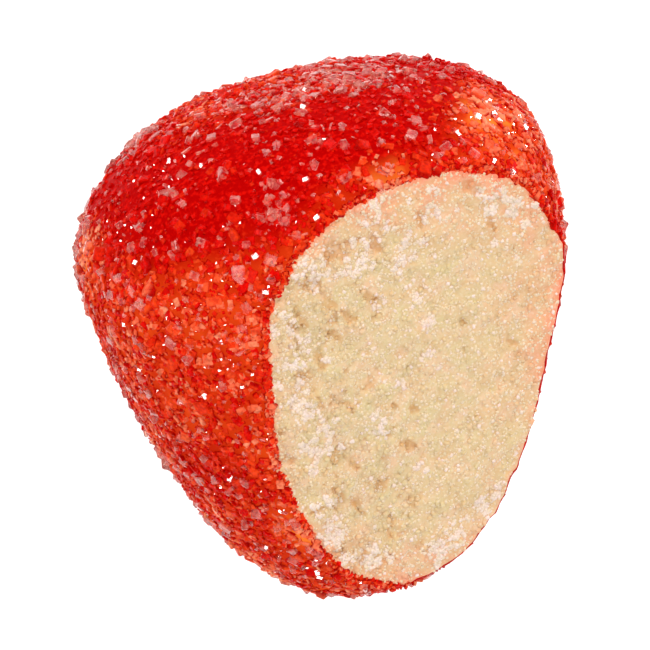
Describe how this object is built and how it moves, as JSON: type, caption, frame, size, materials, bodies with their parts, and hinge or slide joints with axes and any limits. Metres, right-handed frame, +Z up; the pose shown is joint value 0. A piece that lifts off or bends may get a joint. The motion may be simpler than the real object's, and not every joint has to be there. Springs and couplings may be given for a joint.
{
  "type": "marzipan strawberry",
  "caption": "Strawberry-shaped marzipan sweet rolled in red sugar crystals, lying on its back, with a slice taken off one side that shows the pale almond paste.",
  "frame": {"origin": "on the flat resting face, under the middle of the sweet", "axes": "+Z up; +Y from the tip towards the crown (stem end), the sweet's longest way; +X to the right as seen from above with the crown away from the viewer"},
  "size_m": [0.0328, 0.0368, 0.0292],
  "materials": {
    "marzipan_paste": "moist, finely grained almond paste, matt with tiny sparkling sugar grains",
    "red_sugar_crust": "translucent red syrup set full of clear sugar crystals"
  },
  "bodies": {
    "root": {"marzipan": "marzipan_paste", "sugar_coat": "red_sugar_crust"}
  },
  "joints": []
}
